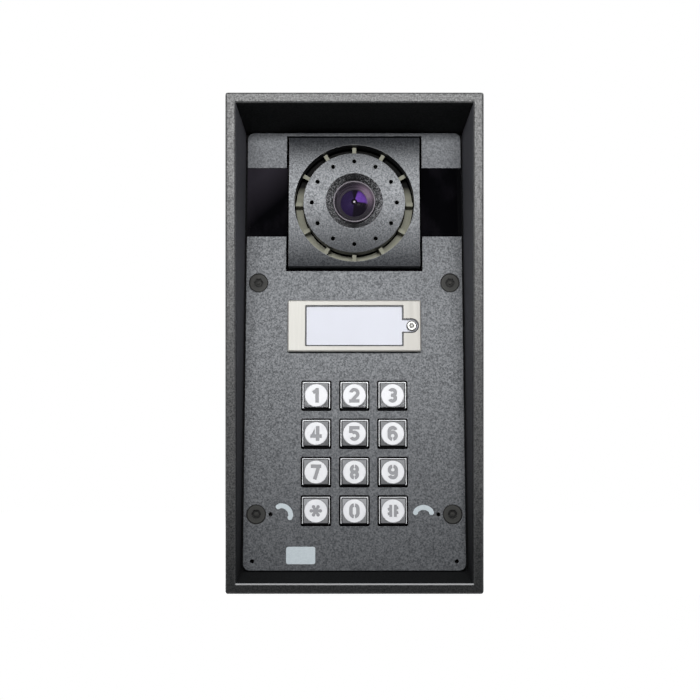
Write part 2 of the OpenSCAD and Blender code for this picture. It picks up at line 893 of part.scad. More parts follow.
// Barrel on the camera board: a seat for the inner lens and stepped rings up to the front dome
module lens_barrel() {
    step_r = (lens_r + dome_r) / 2;
    step_w = (dome_r - lens_r) / 5;
    sensor_r = sensor_w / sqrt(2) + fit;
    sensor_z = block_back + 2 * sensor_t;
    stop_r = sensor_r - 1.4;
    color("#26242a") stand() translate([0, block_y, 0]) rotate_extrude() polygon([
        [sensor_r, block_back], [barrel_r, block_back], [barrel_r, barrel_front],
        [dome_r + fit, barrel_front], [dome_r + fit, dome_seat], [step_r + step_w, dome_seat],
        [step_r + step_w, dome_seat - barrel_step_d], [step_r, dome_seat - barrel_step_d],
        [step_r, dome_seat - 2 * barrel_step_d], [lens_r + fit, dome_seat - 2 * barrel_step_d],
        [lens_r + fit, lens_seat], [stop_r, lens_seat], [stop_r, sensor_z], [sensor_r, sensor_z]
    ]);
}

// Front glass: a cap between two balls about one centre
module lens_dome() {
    ball_z = dome_seat + dome_edge - sqrt(pow(dome_ball_r, 2) - pow(dome_r, 2));
    color("#b9b2c8") stand() translate([0, block_y, 0]) intersection() {
        translate([0, 0, dome_seat]) cylinder(r = dome_r, h = dome_ball_r);
        difference() {
            translate([0, 0, ball_z]) sphere(dome_ball_r);
            translate([0, 0, ball_z]) sphere(dome_ball_r - dome_t);
        }
    }
}

// Inner lens: a flat-backed cap of a ball
module lens_element() {
    ball_z = lens_seat + lens_rim_t - sqrt(pow(lens_ball_r, 2) - pow(lens_r, 2));
    color("#5a3fa0") stand() translate([0, block_y, 0]) intersection() {
        translate([0, 0, lens_seat]) cylinder(r = lens_r, h = lens_ball_r);
        translate([0, 0, ball_z]) sphere(lens_ball_r);
    }
}

module camera_board() {
    color("#1f5a34") stand() translate([0, block_y, 0]) difference() {
        between(camera_board_back, block_back) rounded(camera_board_w, camera_board_w, corner_r);
        camera_corners()
            translate([0, 0, camera_board_back - over]) cylinder(r = small_bore_r, h = board_t + 2 * over);
    }
}

module image_sensor() {
    color("#303038") stand() translate([0, block_y, 0])
        between(block_back, block_back + sensor_t) square(sensor_w, center = true);
}

// Screws that come from behind a board
module rear_screws(shank_r, depth) {
    mirror([0, 0, 1]) screw(small_head_r, small_head_t, shank_r, board_t + depth);
}

module camera_screws() {
    color("#b8b8b8") stand() translate([0, block_y, camera_board_back])
        camera_corners() rear_screws(small_shank_r, small_screw_depth - fit);
}

// Loudspeaker

module speaker_frame() {
    neck_r = magnet_r + 1;
    back = speaker_back;
    front = speaker_front;
    ledge = front - speaker_ledge_t;
    color("#5b5d60") stand() translate([0, block_y, 0]) rotate_extrude() polygon([
        [speaker_rim_r, front], [speaker_r, front], [speaker_r, front - speaker_rim_t],
        [speaker_rim_r + 1, front - speaker_rim_t], [neck_r, back + speaker_wall], [neck_r, back],
        [0, back], [0, back + speaker_wall], [neck_r - speaker_wall, back + speaker_wall],
        [speaker_ledge_r, ledge - speaker_ledge_t], [speaker_ledge_r, ledge], [speaker_rim_r, ledge]
    ]);
}

module speaker_cone() {
    flange_z = speaker_front - speaker_ledge_t;
    paper_t = 0.5;
    coil_r = 7;
    cone_drop = 7;
    cap_rise = 1.8;
    coil_z = flange_z - cone_drop;
    cap_z = coil_z + cap_rise;
    outer = speaker_rim_r - fit;
    fold = speaker_ledge_r - clear;
    color("#3a3630") stand() translate([0, block_y, 0]) rotate_extrude() polygon([
        [outer, flange_z], [outer, flange_z + paper_t], [fold, flange_z + paper_t],
        [coil_r, coil_z + paper_t], [0, cap_z + paper_t], [0, cap_z], [coil_r, coil_z], [fold, flange_z]
    ]);
}

module speaker_magnet() {
    vent_r = 2;
    vent_d = 3;
    color("#8d8f92") stand() translate([0, block_y, speaker_back - magnet_t]) difference() {
        cylinder(r = magnet_r, h = magnet_t);
        translate([0, 0, -over]) cylinder(r = vent_r, h = vent_d + over);
    }
}

// Call button

// Window outline with the round-ended screw tab on its right
module window_outline(grow) {
    rounded(window_w + 2 * grow, window_h + 2 * grow, window_r);
    translate([0, -tab_h / 2 - grow]) square([tab_screw_x, tab_h + 2 * grow]);
    translate([tab_screw_x, 0]) circle(tab_h / 2 + grow);
}

module on_button() {
    translate([0, button_y, 0]) children();
}

module button_frame() {
    color("#d9d8d0") stand() on_button() difference() {
        intersection() {
            bevelled(button_w, button_h, button_back, button_face, button_bevel, button_bevel);
            between(button_back, button_face) rounded(button_w, button_h, button_r);
        }
        between(button_back - over, button_face + over) window_outline(window_fit);
    }
}

module button_window() {
    z = window_top - window_t;
    color("#e4e6f0") stand() on_button() difference() {
        between(z, window_top) window_outline(0);
        translate([tab_screw_x, 0, z - over])
            cylinder(r = tab_screw_shank_r + fit, h = window_t + 2 * over);
        translate([tab_screw_x, 0, window_top - tab_sink])
            cylinder(r = tab_screw_head_r + fit, h = tab_sink + over);
    }
}

module name_label() {
    z = button_back + pad_t;
    color("#e6e8f2") stand() on_button() difference() {
        between(z, z + label_t) window_outline(-label_inset);
        translate([tab_screw_x, 0, z - over]) cylinder(r = tab_screw_shank_r + fit, h = label_t + 2 * over);
    }
}

module window_screw() {
    z = window_top - tab_sink;
    color("#b5b5b0") stand() on_button() translate([tab_screw_x, 0, z])
        screw(tab_screw_head_r, tab_screw_head_t, tab_screw_shank_r, z - button_back + tab_screw_depth);
}

// Plunger through the plate, stopped by its flange behind it
module button_carrier() {
    wall = 3;
    back = plate_back - flange_t;
    color("#303134") stand() on_button() difference() {
        union() {
            between(back, plate_back) rounded(carrier_flange_w, carrier_flange_h, corner_r);
            between(back, button_back) rounded(plunger_w, plunger_h, corner_r);
            between(button_back, button_back + pad_t) window_outline(-fit);
        }
        translate([tab_screw_x, 0, button_back - tab_screw_depth - fit])
            cylinder(r = tab_screw_shank_r + fit, h = tab_screw_depth + pad_t + over);
        translate([-tab_h / 2, 0, 0]) between(plate_back, button_back - flange_t)
            square([plunger_w - tab_h - 2 * wall, plunger_h - 2 * wall], center = true);
    }
}

// Keypad

// Straight stroke of a sign between two points
module bar(from, to, w, grow) {
    run = to - from;
    translate(from) rotate(atan2(run[1], run[0]))
        translate([-grow, -w / 2 - grow]) square([norm(run) + 2 * grow, w + 2 * grow]);
}

// Curved stroke of a sign about a centre
module bow(centre, r, a1, a2, w, grow) {
    turn = grow / r * 180 / PI;
    translate(centre) sector(r - w / 2 - grow, r + w / 2 + grow, a1 - turn, a2 + turn);
}

// Sign of a key by its name, widened all round by grow
module sign_outline(name, grow) {
    w = stroke;
    x = (sign_w - stroke) / 2;
    y = (sign_h - stroke) / 2;
    top = sign_h / 2;
    side = sign_w / 2;
    gap = asin(stencil_gap / 2 / x);
    if (name == "1") {
        bar([0.25 * x, -top], [0.25 * x, top], w, grow);
        bar([-0.9 * x, 0.5 * y], [0.25 * x, 0.95 * y], w, grow);
    }
    if (name == "2") {
        bow([0, y - x], x, -32, 165, w, grow);
        bar([-side, -y], [side, -y], w, grow);
        bar([0.85 * x, y - 1.5 * x], [-0.75 * x, -y], w, grow);
    }
    if (name == "3") {
        bow([0, y / 2], y / 2, -90, 150, w, grow);
        bow([0, -y / 2], y / 2, -150, 90, w, grow);
        bar([-0.4 * x, 0], [0.1 * x, 0], w, grow);
    }
    if (name == "4") {
        post = 0.45 * x;
        bar([post, -top], [post, top], w, grow);
        bar([-1.1 * side, -0.45 * y], [1.1 * side, -0.45 * y], w, grow);
        intersection() {
            bar([-x, -0.5 * y], [post, 1.3 * y], w, grow);
            translate([post - w / 2 - stencil_gap + grow, -sign_h]) mirror([1, 0]) square(2 * sign_h);
        }
    }
    if (name == "5") {
        bar([-x - w / 2, y], [side, y], w, grow);
        bar([-x, 0.1 * y], [-x, top], w, grow);
        bow([0, x - y], x, -150, 128, w, grow);
    }
    if (name == "6") six_outline(x, y, w, gap, grow);
    if (name == "7") {
        bar([-side, y], [side, y], w, grow);
        bar([0.8 * x, y], [-0.35 * x, -top], w, grow);
    }
    if (name == "8") {
        bow([0, y / 2], y / 2, 90 - 360 + gap, 90 - gap, w, grow);
        bow([0, -y / 2], y / 2, -90 + gap, 270 - gap, w, grow);
    }
    if (name == "9") rotate(180) six_outline(x, y, w, gap, grow);
    if (name == "0")
        for (turn = [0, 180]) rotate(turn) {
            bow([0, y - x], x, 0, 90 - gap, w, grow);
            bow([0, y - x], x, 90 + gap, 180, w, grow);
            bar([x, x - y], [x, y - x], w, grow);
        }
    if (name == "star")
        for (k = [0 : 2]) rotate(60 * k) {
            reach = 0.8 * y;
            bar([-reach, 0], [reach, 0], 0.8 * w, grow);
            for (end = [-reach, reach]) translate([end, 0]) circle(w / 2 + grow);
        }
    if (name == "hash")
        for (turn = [0, 180]) rotate(turn) {
            post = stencil_gap / 2 + w / 2;
            bar([post, -0.8 * top], [post, 0.8 * top], 0.8 * w, grow);
            for (rung = [-0.4 * y, 0.4 * y])
                bar([post, rung], [side, rung + 0.15 * y], 0.8 * w, grow);
        }
}

module six_outline(x, y, w, gap, grow) {
    bow([0, x - y], x, -90 + gap, 270 - gap, w, grow);
    bow([0, y - x], x, 25, 180, w, grow);
    bar([-x, x - y], [-x, y - x], w, grow);
}

module on_key(i) {
    translate(key_at(i)) children();
}

// Chrome cap with a flange behind the plate, a narrow ledge round its foot and its sign in the disc's recess
module key_cap(i) {
    step_w = key_w - 2 * key_ledge;
    bevel_x = (step_w - key_face_w) / 2;
    bevel_z = key_proud - key_step;
    floor_z = key_face - disc_t;
    color("#c4c6c9") stand() on_key(i) {
        difference() {
            union() {
                between(plate_back - key_flange_t, plate_back) rounded(key_flange_w, key_flange_w, key_r);
                between(plate_back - key_flange_t, plate_level + key_step) rounded(key_w, key_w, key_r);
                intersection() {
                    bevelled(step_w, step_w, plate_back - key_flange_t, key_face, bevel_x, bevel_z);
                    between(plate_back - key_flange_t, key_face) rounded(step_w, step_w, key_r);
                }
            }
            translate([0, 0, floor_z]) cylinder(r = disc_r + disc_gap, h = disc_t + over);
        }
        between(floor_z, key_face) sign_outline(key_names[i], 0);
    }
}

// White disc round the sign
module key_lens(i) {
    color("#f2f3f5") stand() on_key(i) between(key_face - disc_t, key_face) difference() {
        circle(disc_r);
        sign_outline(key_names[i], sign_gap);
    }
}

// Silicone mat: a sheet on the board with a hollow dome behind each key and two behind the button
module keypad_mat() {
    mat_top = board_top - clear;
    mat_foot = last_row_y - key_flange_w / 2;
    color("#8a8c90") stand() difference() {
        union() {
            translate([-mat_w / 2, mat_foot, board_front]) cube([mat_w, mat_top - mat_foot, mat_t]);
            for (i = [0 : len(key_names) - 1])
                on_key(i) between(board_front, plate_back - key_flange_t) circle(key_dome_r);
            button_domes() between(board_front, plate_back - flange_t) circle(key_dome_r);
        }
        for (i = [0 : len(key_names) - 1]) on_key(i) dome_hollow(plate_back - key_flange_t);
        button_domes() dome_hollow(plate_back - flange_t);
    }
}

module button_domes() {
    corners(button_dome_x, [button_y]) children();
}

module dome_hollow(top) {
    between(board_front - over, top - dome_skin) circle(dome_hole_r);
}

module keypad_board() {
    color("#1f5a34") stand() difference() {
        translate([0, (board_top + board_foot) / 2, 0])
            between(board_back, board_front) rounded(board_w, board_top - board_foot, corner_r);
        board_posts()
            translate([0, 0, board_back - over]) cylinder(r = small_bore_r, h = board_t + 2 * over);
    }
}

// Screws of the keypad board and, smaller, of the night light boards
module panel_board_screws() {
    color("#b8b8b8") stand() {
        board_posts() translate([0, 0, board_back]) rear_screws(small_shank_r, small_screw_depth - fit);
        led_posts() translate([0, 0, led_board_z - board_t]) mirror([0, 0, 1])
            screw(led_post_r, small_head_t / 2, led_shank_r, board_t + led_screw_depth - fit);
    }
}

// Boards in the housing

module main_board() {
    color("#1f5a34") stand() difference() {
        translate([0, main_board_y, 0])
            between(main_board_back, main_board_front) rounded(main_board_w, main_board_h, corner_r);
        main_board_corners()
            translate([0, 0, main_board_back - over]) cylinder(r = main_bore_r, h = board_t + 2 * over);
    }
}

module board_screws() {
    color("#b8b8b8") stand() main_board_corners() translate([0, 0, main_board_front])
        screw(main_head_r, main_head_t, main_shank_r, board_t + main_screw_depth - fit);
}

// Row of screw terminals along the main board's top edge
module terminal_block() {
    length = terminal_ways * terminal_pitch;
    foot = main_board_foot + main_board_h - standoff_inset - standoff_r - terminal_d;
    color("#3f8f57") stand() translate([0, foot, main_board_front]) difference() {
        translate([-length / 2, 0, 0]) cube([length, terminal_d, terminal_h]);
        for (k = [0 : terminal_ways - 1])
            translate([(k + 0.5) * terminal_pitch - length / 2, terminal_d / 2, 0]) {
                translate([0, 0, terminal_h / 2]) cylinder(r = terminal_screw_r, h = terminal_h);
                translate([-terminal_mouth_w / 2, 0, terminal_floor])
                    cube([terminal_mouth_w, terminal_d, terminal_mouth_h]);
            }
    }
}

// Network socket at the main board's foot, open downwards
module ethernet_jack() {
    inner_w = jack_w - 2 * jack_wall;
    inner_h = jack_h - 2 * jack_wall;
    color("#b9bcc0") stand() translate([0, main_board_foot, main_board_front]) difference() {
        translate([-jack_w / 2, 0, 0]) cube([jack_w, jack_d, jack_h]);
        translate([-inner_w / 2, -over, jack_wall]) cube([inner_w, jack_d - jack_wall, inner_h]);
    }
}

housing();
wall_gasket();
cable_grommet();
blanking_plug();
front_plate();
panel_gasket();
panel_screws();
printed_marks();
microphones();
ir_window_left();
ir_window_right();
ir_boards();
ir_leds();
camera_block();
acoustic_ring();
lens_barrel();
lens_dome();
lens_element();
camera_board();
image_sensor();
camera_screws();
speaker_frame();
speaker_cone();
speaker_magnet();
button_frame();
button_window();
name_label();
window_screw();
button_carrier();
keypad_mat();
keypad_board();
panel_board_screws();
main_board();
board_screws();
terminal_block();
ethernet_jack();
for (i = [0 : len(key_names) - 1]) {
    key_cap(i);
    key_lens(i);
}
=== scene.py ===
import math

import bpy
import numpy as np
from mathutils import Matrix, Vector


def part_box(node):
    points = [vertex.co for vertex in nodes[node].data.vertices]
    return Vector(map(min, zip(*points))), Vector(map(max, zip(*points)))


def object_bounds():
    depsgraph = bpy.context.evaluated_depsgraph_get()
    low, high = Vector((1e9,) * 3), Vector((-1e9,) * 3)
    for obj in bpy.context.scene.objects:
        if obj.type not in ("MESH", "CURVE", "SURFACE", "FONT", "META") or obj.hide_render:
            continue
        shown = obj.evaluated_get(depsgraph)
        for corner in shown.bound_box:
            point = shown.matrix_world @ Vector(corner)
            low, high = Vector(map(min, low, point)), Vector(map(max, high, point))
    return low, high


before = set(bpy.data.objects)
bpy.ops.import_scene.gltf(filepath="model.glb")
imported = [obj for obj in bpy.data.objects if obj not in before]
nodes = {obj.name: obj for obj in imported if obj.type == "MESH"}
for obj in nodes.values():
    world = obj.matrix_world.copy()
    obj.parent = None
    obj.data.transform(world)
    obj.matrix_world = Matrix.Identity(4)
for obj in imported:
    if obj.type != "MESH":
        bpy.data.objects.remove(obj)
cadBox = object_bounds()
print("frame:", len(nodes), "pieces, box", [round(v, 4) for v in cadBox[1] - cadBox[0]])


# Small helpers

noiseRange = (0.3, 0.7)  # most of a noise lies in it
edgeTurn = (0.995, 0.85)  # cosine of the turn where an edge begins and where it is full
frontFacing = -0.9  # y of a normal that counts as facing the front


def tone(r, g, b):  # screen colour 0..255 to the linear colour that a shader takes
    c = np.array([r, g, b]) / 255
    c = np.where(c < 0.04045, c / 12.92, ((c + 0.055) / 1.055) ** 2.4)
    return (*c.tolist(), 1.0)


def corners(name):  # lowest and highest corner of a piece
    return [np.array(c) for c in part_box(name)]


def radiusOf(name):  # half the width of a round piece
    low, high = corners(name)
    return (high[0] - low[0]) / 2


def keyPieces(end):  # all key caps, or all key lenses
    return [name for name in nodes if name.startswith("key_") and name.endswith(end)]


class Tree:  # a node tree with short calls for the nodes used below
    def __init__(self, owner):
        owner.use_nodes = True
        self.tree = owner.node_tree
        self.tree.nodes.clear()

    def add(self, kind, **settings):
        node = self.tree.nodes.new("ShaderNode" + kind)
        for key, value in settings.items():
            setattr(node, key, value)
        return node

    def put(self, value, socket):  # a socket is linked, anything else is set
        if isinstance(value, bpy.types.NodeSocket):
            self.tree.links.new(value, socket)
        else:
            socket.default_value = value

    def math(self, operation, *values):
        node = self.add("Math", operation=operation)
        for value, socket in zip(values, node.inputs):
            self.put(value, socket)
        return node.outputs[0]

    def times(self, a, b):
        return self.math("MULTIPLY", a, b)

    def plus(self, a, b):
        return self.math("ADD", a, b)

    def minus(self, a, b):
        return self.math("SUBTRACT", a, b)

    def over(self, a, b):
        return self.math("DIVIDE", a, b)

    def most(self, a, b):
        return self.math("MAXIMUM", a, b)

    def size(self, a):
        return self.math("ABSOLUTE", a)

    def under(self, a, limit):  # 1 where a is less
        return self.math("LESS_THAN", a, limit)

    def past(self, a, limit):  # 1 where a is more
        return self.math("GREATER_THAN", a, limit)

    def reach(self, a, b):  # length of a flat vector
        return self.math("SQRT", self.plus(self.times(a, a), self.times(b, b)))

    def span(self, value, low, high, toLow, toHigh):
        node = self.add("MapRange")
        for socket, v in zip(node.inputs, (value, low, high, toLow, toHigh)):
            self.put(v, socket)
        return node.outputs[0]

    def fromGrain(self, grain, low, high):
        return self.span(grain, *noiseRange, low, high)

    def mix(self, factor, a, b):
        node = self.add("Mix", data_type="RGBA")
        self.put(factor, node.inputs[0])
        self.put(a, node.inputs[6])
        self.put(b, node.inputs[7])
        return node.outputs[2]

    def place(self, centre=(0, 0, 0), scale=(1, 1, 1)):  # object coordinates about a centre
        coord = self.add("TexCoord")
        mapping = self.add("Mapping")
        self.put(coord.outputs["Object"], mapping.inputs["Vector"])
        mapping.inputs["Location"].default_value = [-c * s for c, s in zip(centre, scale)]
        mapping.inputs["Scale"].default_value = scale
        return mapping.outputs[0]

    def split(self, vector):
        node = self.add("SeparateXYZ")
        self.put(vector, node.inputs[0])
        return node.outputs

    def along(self, axis):  # place on the X, Y or Z axis of the part
        return self.split(self.place())[axis]

    def about(self, name):  # x, y and z from the middle of a piece
        low, high = corners(name)
        return self.split(self.place(centre=(low + high) / 2))

    def polar(self, name):  # distance from a round piece's axis, and the angle in degrees
        x, y, z = self.about(name)
        return self.reach(x, z), self.math("DEGREES", self.math("ARCTAN2", z, x))

    def sector(self, angle, sweep, soft):  # 1 between two angles, 0 elsewhere, with soft ends
        middle, half = (sweep[0] + sweep[1]) / 2, (sweep[1] - sweep[0]) / 2
        turn = self.size(self.math("WRAP", self.minus(angle, middle), 180.0, -180.0))
        return self.span(turn, half - soft, half + soft, 1.0, 0.0)

    def within(self, halfWidth, low, high):  # 1 inside an upright rectangle about x = 0, else 0
        up = self.under(self.size(self.minus(self.along("Z"), (low + high) / 2)), (high - low) / 2)
        return self.times(self.under(self.size(self.along("X")), halfWidth), up)

    def noise(self, scale, detail=2.0, stretch=(1, 1, 1)):
        node = self.add("TexNoise")
        self.put(self.place(scale=stretch), node.inputs["Vector"])
        node.inputs["Scale"].default_value = scale
        node.inputs["Detail"].default_value = detail
        return node.outputs[0]

    def ramp(self, factor, stops):
        node = self.add("ValToRGB")
        self.put(factor, node.inputs[0])
        steps = node.color_ramp.elements
        while len(steps) < len(stops):
            steps.new(0.5)
        for step, (at, colour) in zip(steps, stops):
            step.position = at
            step.color = colour
        return node.outputs[0]

    def facing(self):  # normal of the flat face
        return self.add("NewGeometry").outputs["True Normal"]

    def edges(self, radius):  # normal that is rounded near edges, and a mask of 1 on them
        bevel = self.add("Bevel", samples=6)
        bevel.inputs["Radius"].default_value = radius
        dot = self.add("VectorMath", operation="DOT_PRODUCT")
        self.put(bevel.outputs[0], dot.inputs[0])
        self.put(self.facing(), dot.inputs[1])
        return bevel.outputs[0], self.span(dot.outputs["Value"], *edgeTurn, 0.0, 1.0)

    def bump(self, height, strength, depth, normal=None):
        node = self.add("Bump")
        node.inputs["Strength"].default_value = strength
        node.inputs["Distance"].default_value = depth
        self.put(height, node.inputs["Height"])
        if normal is not None:
            self.put(normal, node.inputs["Normal"])
        return node.outputs[0]


class Material(Tree):  # a material with one shader, whose inputs are given by name
    def __init__(self, name):
        self.made = bpy.data.materials.new(name)
        super().__init__(self.made)
        out = self.add("OutputMaterial")
        shader = self.add("BsdfPrincipled")
        self.put(shader.outputs[0], out.inputs["Surface"])
        self.inputs = shader.inputs

    def give(self, values):
        for name, value in values.items():
            self.put(value, self.inputs[name])

    def dress(self, *names):
        for name in names:
            slots = nodes[name].material_slots
            for slot in slots:
                slot.material = self.made
            if not slots:
                nodes[name].data.materials.append(self.made)


# Two tones mixed by a fine grain and a slow cloud, roughness and bump from the same grain, and edges that are
# rounded in the shading and may get an edge tone: wear, and on some pieces also a painted edge highlight
# (lighter tones) and painted edge shade (darker tones). Further layers are painted on before finish is
# called.
finishBase = {"detail": 3.0, "cloud": 30.0, "cloudShare": 0.2, "glowRadius": (0.001,) * 3, "glowScale": 0.5}


class Finish(Material):
    def __init__(self, name, look):
        super().__init__(name)
        self.look = look
        self.fine = self.noise(look["grain"], finishBase["detail"], look.get("stretch", (1, 1, 1)))
        cloud = self.times(self.noise(finishBase["cloud"]), finishBase["cloudShare"])
        spread = self.plus(self.times(self.fine, 1 - finishBase["cloudShare"]), cloud)
        self.colour = self.mix(self.fromGrain(spread, 0.0, 1.0), look["dark"], look["pale"])
        self.rough = self.fromGrain(self.fine, *look["rough"])
        self.shine = look.get("spec", 0.5)
        self.normal, edgeMask = self.edges(look["edge"])
        # edge tone: wear, with painted edge highlight and painted edge shade
        if "edgeTone" in look:
            self.paint(self.times(edgeMask, look["edgeToneShare"]), look["edgeTone"])

    def paint(self, mask, colour):  # lays a colour over part of the piece
        self.colour = self.mix(mask, self.colour, colour)

    def dim(self, share):  # leaves a share of the shine
        self.shine = self.times(self.shine, share)

    def finish(self):
        look = self.look
        self.give({
            "Base Color": self.colour, "Roughness": self.rough, "Specular IOR Level": self.shine,
            "Normal": self.bump(self.fine, look["bump"], look["depth"], self.normal),
        })
        for key, socket in (("tint", "Specular Tint"), ("metal", "Metallic"), ("alpha", "Alpha")):
            if key in look:
                self.give({socket: look[key]})
        if "glow" in look:  # light spreads about half a millimetre inside
            self.give({
                "Subsurface Weight": look["glow"], "Subsurface Radius": finishBase["glowRadius"],
                "Subsurface Scale": finishBase["glowScale"],
            })
        return self


# Painted housing, plate and block

rimWidth = 0.00435  # of the housing's front
insideHalf = cadBox[1][0] - rimWidth
sillTop = cadBox[0][2] + rimWidth
castLook = {
    "dark": tone(20, 21, 22), "pale": tone(27, 28, 29), "edgeTone": tone(110, 111, 114), "edgeToneShare": 0.3,
    "grain": 1250, "rough": (0.45, 0.5), "bump": 1.0, "depth": 5e-5, "edge": 0.0006,
    "spec": 0.88, "specks": 1500, "speckle": 0.5,
    "duller": (cadBox[0][2], cadBox[0][2] + 0.05, 0.4),  # less shine towards the foot
    "recess": (insideHalf, sillTop, cadBox[1][2] - rimWidth), "recessBack": -0.039,
    "sheltered": tone(26, 27, 28), "shelteredRough": 0.3, "shelteredShine": 0.12,
    # painted light on the side walls inside the recess, fading out towards the foot
    "paintedSideLight": tone(98, 99, 105), "paintedSideLightFade": (-0.11, 0.03),
    # a painted highlight along the sill's front edge
    "lip": (insideHalf, sillTop - 0.0005, sillTop + 0.0001), "paintedLipHighlight": tone(165, 166, 168),
}
blockLow, blockHigh = corners("camera_block")
paintLook = {
    "dark": tone(32, 34, 37), "pale": tone(42, 44, 48), "grain": 1250, "bump": 1.0, "depth": 5e-5,
    "edge": 0.00025, "tint": (0.93, 0.96, 1.0, 1), "specks": 1500, "speckle": 0.5,
    # painted shadow: black past the depth of the marks
    "deep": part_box("printed_marks")[0][1] + 0.0006, "paintedShadow": tone(6, 6, 7),
}
plateLook = dict(
    paintLook, edgeTone=tone(130, 132, 136), edgeToneShare=0.25, rough=(0.45, 0.5), spec=0.8,
    paintedShadowBand=(blockHigh[0] - 0.0018, blockLow[2] + 0.0017, blockHigh[2] + 0.002),  # painted shadow round the block's opening
    # painted light: the plate is paler towards the top, under the hood
    dustAndPaintedLight=tone(84, 86, 90), paintedLightFade=(0.07, 0.092), paintedLightShare=0.7,
)
blockLook = dict(
    paintLook, edgeTone=tone(170, 171, 172), edgeToneShare=0.5, rough=(0.4, 0.45), spec=0.86,
    paintedShadowBand=(blockHigh[0], blockHigh[2] - 0.0006, blockHigh[2]),  # painted shadow along the block's upper edge
)
rollLook = {
    "centre": (blockLow[2] + blockHigh[2]) / 2, "half": 0.027, "power": 7.7, "slope": 0.14, "lean": 0.105,
    "bow": 0.085, "discTop": 0.008, "discRadius": 0.024,
}
coneLook = {
    "radius": 0.0128, "dark": tone(20, 20, 21), "pale": tone(166, 167, 170),
    "grain": 1700, "flecks": (0.45, 0.68), "shadeFade": (0.1, 0.9), "shade": 0.75,
}


def addSpeckle(f):  # more and less shine from fleck to fleck
    change = f.look["speckle"]
    f.dim(f.fromGrain(f.noise(f.look["specks"], 1.0), 1 - change, 1 + change))


def addPaintedShadow(f):  # painted shadow: black in holes and gaps, and along one band
    hidden = f.most(f.past(f.along("Y"), f.look["deep"]), f.within(*f.look["paintedShadowBand"]))
    f.paint(hidden, f.look["paintedShadow"])
    f.dim(f.minus(1.0, hidden))


def addLensCone(f, cone):  # dark and speckled, with painted highlights on the flecks to its sides, and less shine on its upper half as painted shadow
    far, angle = f.polar("lens_barrel")
    turn = f.math("RADIANS", angle)
    near = f.under(far, cone["radius"])
    flecks = f.span(f.noise(cone["grain"], 1.0), *cone["flecks"], 0.0, 1.0)
    aside = f.size(f.math("COSINE", turn))
    f.paint(near, f.mix(f.times(flecks, aside), cone["dark"], cone["pale"]))
    shade = f.span(f.math("SINE", turn), *cone["shadeFade"], 0.0, cone["shade"])
    f.dim(f.minus(1.0, f.times(near, shade)))


def rollEdges(f, roll):  # the height leans, bows, and falls steeply near the upper and lower edge
    rise = f.minus(f.along("Z"), roll["centre"])
    steep = f.math("POWER", f.over(f.size(rise), roll["half"]), roll["power"])
    drop = f.times(steep, roll["slope"] * roll["half"] / roll["power"])
    drop = f.plus(drop, f.times(f.times(rise, rise), roll["bow"] / (2 * roll["half"])))
    far = f.polar("acoustic_ring")[0]
    below = f.most(f.minus(roll["discTop"], rise), 0.0)
    sag = f.times(f.under(far, roll["discRadius"]), f.times(below, below))
    height = f.minus(f.times(rise, roll["lean"]), f.plus(drop, sag))
    f.normal = f.bump(height, 1.0, 1.0, f.normal)


def paintHousing(look):
    f = Finish("cast paint", look)
    addSpeckle(f)
    x, y, z = f.split(f.place())
    f.dim(f.span(z, *look["duller"], 1.0))
    inside = f.times(f.within(*look["recess"]), f.under(y, look["recessBack"]))
    turned = f.size(f.split(f.facing())["X"])
    # painted light on the recess's side walls, less towards the foot
    paintedSideLight = f.times(turned, f.span(z, *look["paintedSideLightFade"], 0.0, 1.0))
    f.paint(inside, f.mix(paintedSideLight, look["sheltered"], look["paintedSideLight"]))
    f.rough = f.plus(f.rough, f.times(inside, look["shelteredRough"]))
    f.dim(f.span(inside, 0.0, 1.0, 1.0, look["shelteredShine"]))
    f.paint(f.within(*look["lip"]), look["paintedLipHighlight"])  # painted highlight along the sill's front edge
    return f.finish()


def paintPlate(look):
    f = Finish("plate paint", look)
    paintedLightShare = f.span(f.along("Z"), *look["paintedLightFade"], 0.0, look["paintedLightShare"])
    f.paint(paintedLightShare, look["dustAndPaintedLight"])  # painted light under the hood, paler towards the top
    addSpeckle(f)
    addPaintedShadow(f)
    return f.finish()


def paintBlock(look):
    f = Finish("block paint", look)
    addLensCone(f, coneLook)
    addSpeckle(f)
    addPaintedShadow(f)
    rollEdges(f, rollLook)
    return f.finish()


paintHousing(castLook).dress("housing")
paintPlate(plateLook).dress("front_plate")
paintBlock(blockLook).dress("camera_block")
print("paint done")

# Metals

steelLook = {
    "dark": tone(168, 168, 166), "pale": tone(202, 202, 200), "grain": 800,
    "rough": (0.1, 0.14), "bump": 0.05, "depth": 2e-5, "metal": 1.0, "edge": 0.00012,
}
magnetLook = dict(steelLook, dark=tone(120, 121, 124), pale=tone(150, 151, 154), rough=(0.4, 0.55))
nickelLook = {
    "dark": tone(186, 185, 180), "pale": tone(200, 199, 194), "grain": 900, "stretch": (1, 1, 0.04),
    "rough": (0.56, 0.62), "bump": 0.04, "depth": 2e-5, "metal": 0.45, "spec": 0.1, "edge": 0.0002,
    "paintedRightShade": (-0.03, 0.03), "paintedRightShadeTone": tone(180, 178, 173),  # painted shade, darker towards the right end
}
panelScrewLook = {
    "dark": tone(36, 36, 35), "pale": tone(52, 52, 50), "edgeTone": tone(120, 120, 118), "edgeToneShare": 0.5,
    "grain": 900, "rough": (0.45, 0.55), "bump": 0.1, "depth": 2e-5, "spec": 0.12, "edge": 0.0003,
    "radius": 0.0044, "ringing": 0.8, "rings": [
        (0.0, tone(54, 54, 52)), (0.2, tone(50, 50, 48)), (0.28, tone(16, 16, 16)), (0.42, tone(18, 18, 18)),
        (0.5, tone(56, 56, 55)), (0.84, tone(62, 62, 60)), (0.92, tone(14, 14, 14)), (1.0, tone(12, 12, 12)),
    ],
}
